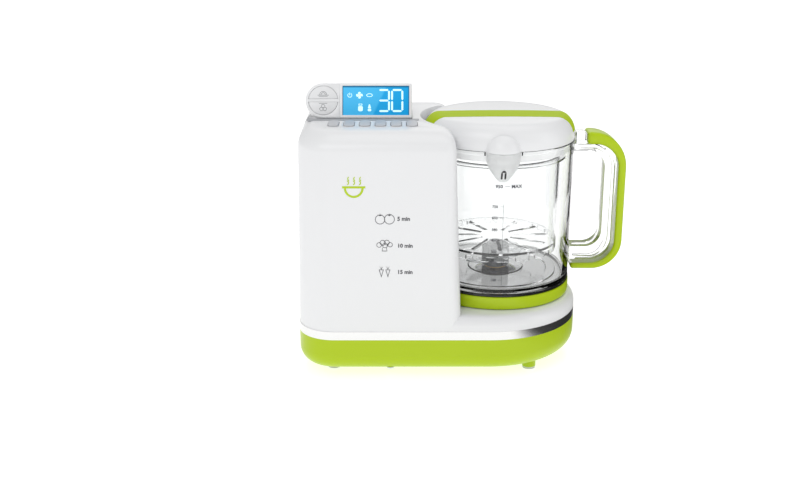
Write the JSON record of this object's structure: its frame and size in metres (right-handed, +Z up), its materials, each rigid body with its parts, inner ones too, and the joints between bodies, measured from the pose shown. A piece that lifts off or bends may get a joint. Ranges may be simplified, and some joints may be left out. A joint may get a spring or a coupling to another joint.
{
  "type": "baby food maker",
  "caption": "Baby food steamer and blender: white tower with a pop-up display, clear jug with a green handle, motor base.",
  "frame": {"origin": "on the surface it stands on, under the middle of its overall length and depth", "axes": "+Z up, +X from the tower to the jug's handle, -Y the front"},
  "size_m": [0.2708, 0.156, 0.23],
  "materials": {
    "green_gloss": "gloss",
    "white_gloss": "gloss",
    "white_satin": "satin",
    "grey_satin": "satin",
    "key_grey": "satin",
    "hub_grey": "satin",
    "black_plastic": "satin",
    "black_gloss": "gloss",
    "pale_rubber": "matt",
    "dark_rubber": "matt",
    "silicone": "matt",
    "chrome": "polished",
    "steel": "brushed",
    "bronze": "satin",
    "cast_alloy": "as cast",
    "rotor_copper": "satin",
    "board": "satin",
    "milky": "satin",
    "lcd_blue": "gloss",
    "clear_plastic": "clear"
  },
  "bodies": {
    "housing": {"base_tray": "green_gloss", "foot_pads": "pale_rubber", "chrome_trim": "chrome", "base_deck": "white_gloss", "tower_shell": "white_gloss", "rear_panel": "white_satin", "pod_pocket": "grey_satin", "pod_hinge_pins": "steel", "key_board": "board", "control_board": "board", "power_board": "board", "water_tank": "milky", "boiler": "cast_alloy", "feed_hose": "silicone", "steam_pipe": "silicone", "steam_nozzle": "dark_rubber", "lid_switch": "black_plastic", "cord_gland": "dark_rubber", "motor_can": "steel", "motor_magnets": "black_plastic", "motor_bearings": "bronze", "motor_bracket": "steel", "motor_isolators": "dark_rubber", "drive_seal": "dark_rubber", "base_screws": "steel", "rear_screws": "steel"},
    "motor_drive": {"motor_shaft": "steel", "motor_rotor": "rotor_copper", "cooling_fan": "black_plastic", "drive_coupling": "black_plastic"},
    "tank_cap": {"tank_cap": "white_satin", "tank_cap_seal": "silicone"},
    "display": {"pod_case": "white_gloss", "pod_bezel": "white_gloss", "lcd_panel": "lcd_blue", "pod_board": "board"},
    "upper_button": {"upper_button": "white_satin"},
    "lower_button": {"lower_button": "white_satin"},
    "jug": {"jug_body": "clear_plastic", "jug_collar": "green_gloss", "jug_gasket": "black_gloss", "handle_frame": "clear_plastic", "handle_grip": "green_gloss", "shaft_bush": "bronze"},
    "blades": {"blade_shaft": "steel", "blade_hub": "hub_grey", "lower_blades": "steel", "upper_blades": "steel", "driven_coupling": "black_plastic"},
    "lid": {"lid_shell": "white_gloss", "lid_band": "green_gloss", "spout_cover": "white_gloss", "lid_seal": "silicone"},
    "basket": {"steam_basket": "clear_plastic"},
    "key_1": {"key_1": "key_grey"},
    "key_2": {"key_2": "key_grey"},
    "key_3": {"key_3": "key_grey"},
    "key_4": {"key_4": "key_grey"},
    "key_5": {"key_5": "key_grey"},
    "key_6": {"key_6": "key_grey"}
  },
  "joints": [
    {"name": "jug_lift", "type": "slide", "parent": "housing", "child": "jug", "axis": [0, 0, 1], "range_m": [0, 0.12]},
    {"name": "lid_lift", "type": "slide", "parent": "jug", "child": "lid", "axis": [0, 0, 1], "range_m": [0, 0.2]},
    {"name": "basket_lift", "type": "slide", "parent": "jug", "child": "basket", "axis": [0, 0, 1], "range_m": [0, 0.11]},
    {"name": "motor_spin", "type": "hinge", "parent": "housing", "child": "motor_drive", "pos_m": [0.0296, 0, 0.03], "axis": [0, 0, 1], "continuous": true},
    {"name": "blade_spin", "type": "hinge", "parent": "jug", "child": "blades", "pos_m": [0.0296, 0, 0.075], "axis": [0, 0, 1], "continuous": true},
    {"name": "display_tilt", "type": "hinge", "parent": "housing", "child": "display", "pos_m": [-0.0863, -0.0105, 0.199], "axis": [1, 0, 0], "range_deg": [-67, 0]},
    {"name": "upper_button_press", "type": "slide", "parent": "display", "child": "upper_button", "axis": [0, 0.9205, -0.3907], "range_m": [0, 0.0008], "stiffness_N_per_m": 400},
    {"name": "lower_button_press", "type": "slide", "parent": "display", "child": "lower_button", "axis": [0, 0.9205, -0.3907], "range_m": [0, 0.0008], "stiffness_N_per_m": 400},
    {"name": "tank_cap_lift", "type": "slide", "parent": "housing", "child": "tank_cap", "axis": [0, 0, 1], "range_m": [0, 0.04]},
    {"name": "key_1_press", "type": "slide", "parent": "housing", "child": "key_1", "axis": [0, 0, -1], "range_m": [0, 0.0008], "stiffness_N_per_m": 400},
    {"name": "key_2_press", "type": "slide", "parent": "housing", "child": "key_2", "axis": [0, 0, -1], "range_m": [0, 0.0008], "stiffness_N_per_m": 400},
    {"name": "key_3_press", "type": "slide", "parent": "housing", "child": "key_3", "axis": [0, 0, -1], "range_m": [0, 0.0008], "stiffness_N_per_m": 400},
    {"name": "key_4_press", "type": "slide", "parent": "housing", "child": "key_4", "axis": [0, 0, -1], "range_m": [0, 0.0008], "stiffness_N_per_m": 400},
    {"name": "key_5_press", "type": "slide", "parent": "housing", "child": "key_5", "axis": [0, 0, -1], "range_m": [0, 0.0008], "stiffness_N_per_m": 400},
    {"name": "key_6_press", "type": "slide", "parent": "housing", "child": "key_6", "axis": [0, 0, -1], "range_m": [0, 0.0008], "stiffness_N_per_m": 400}
  ],
  "couplings": [
    {"joint": "basket_lift", "follows": "lid_lift", "ratio": 0.5},
    {"joint": "blade_spin", "follows": "motor_spin", "ratio": 1}
  ]
}
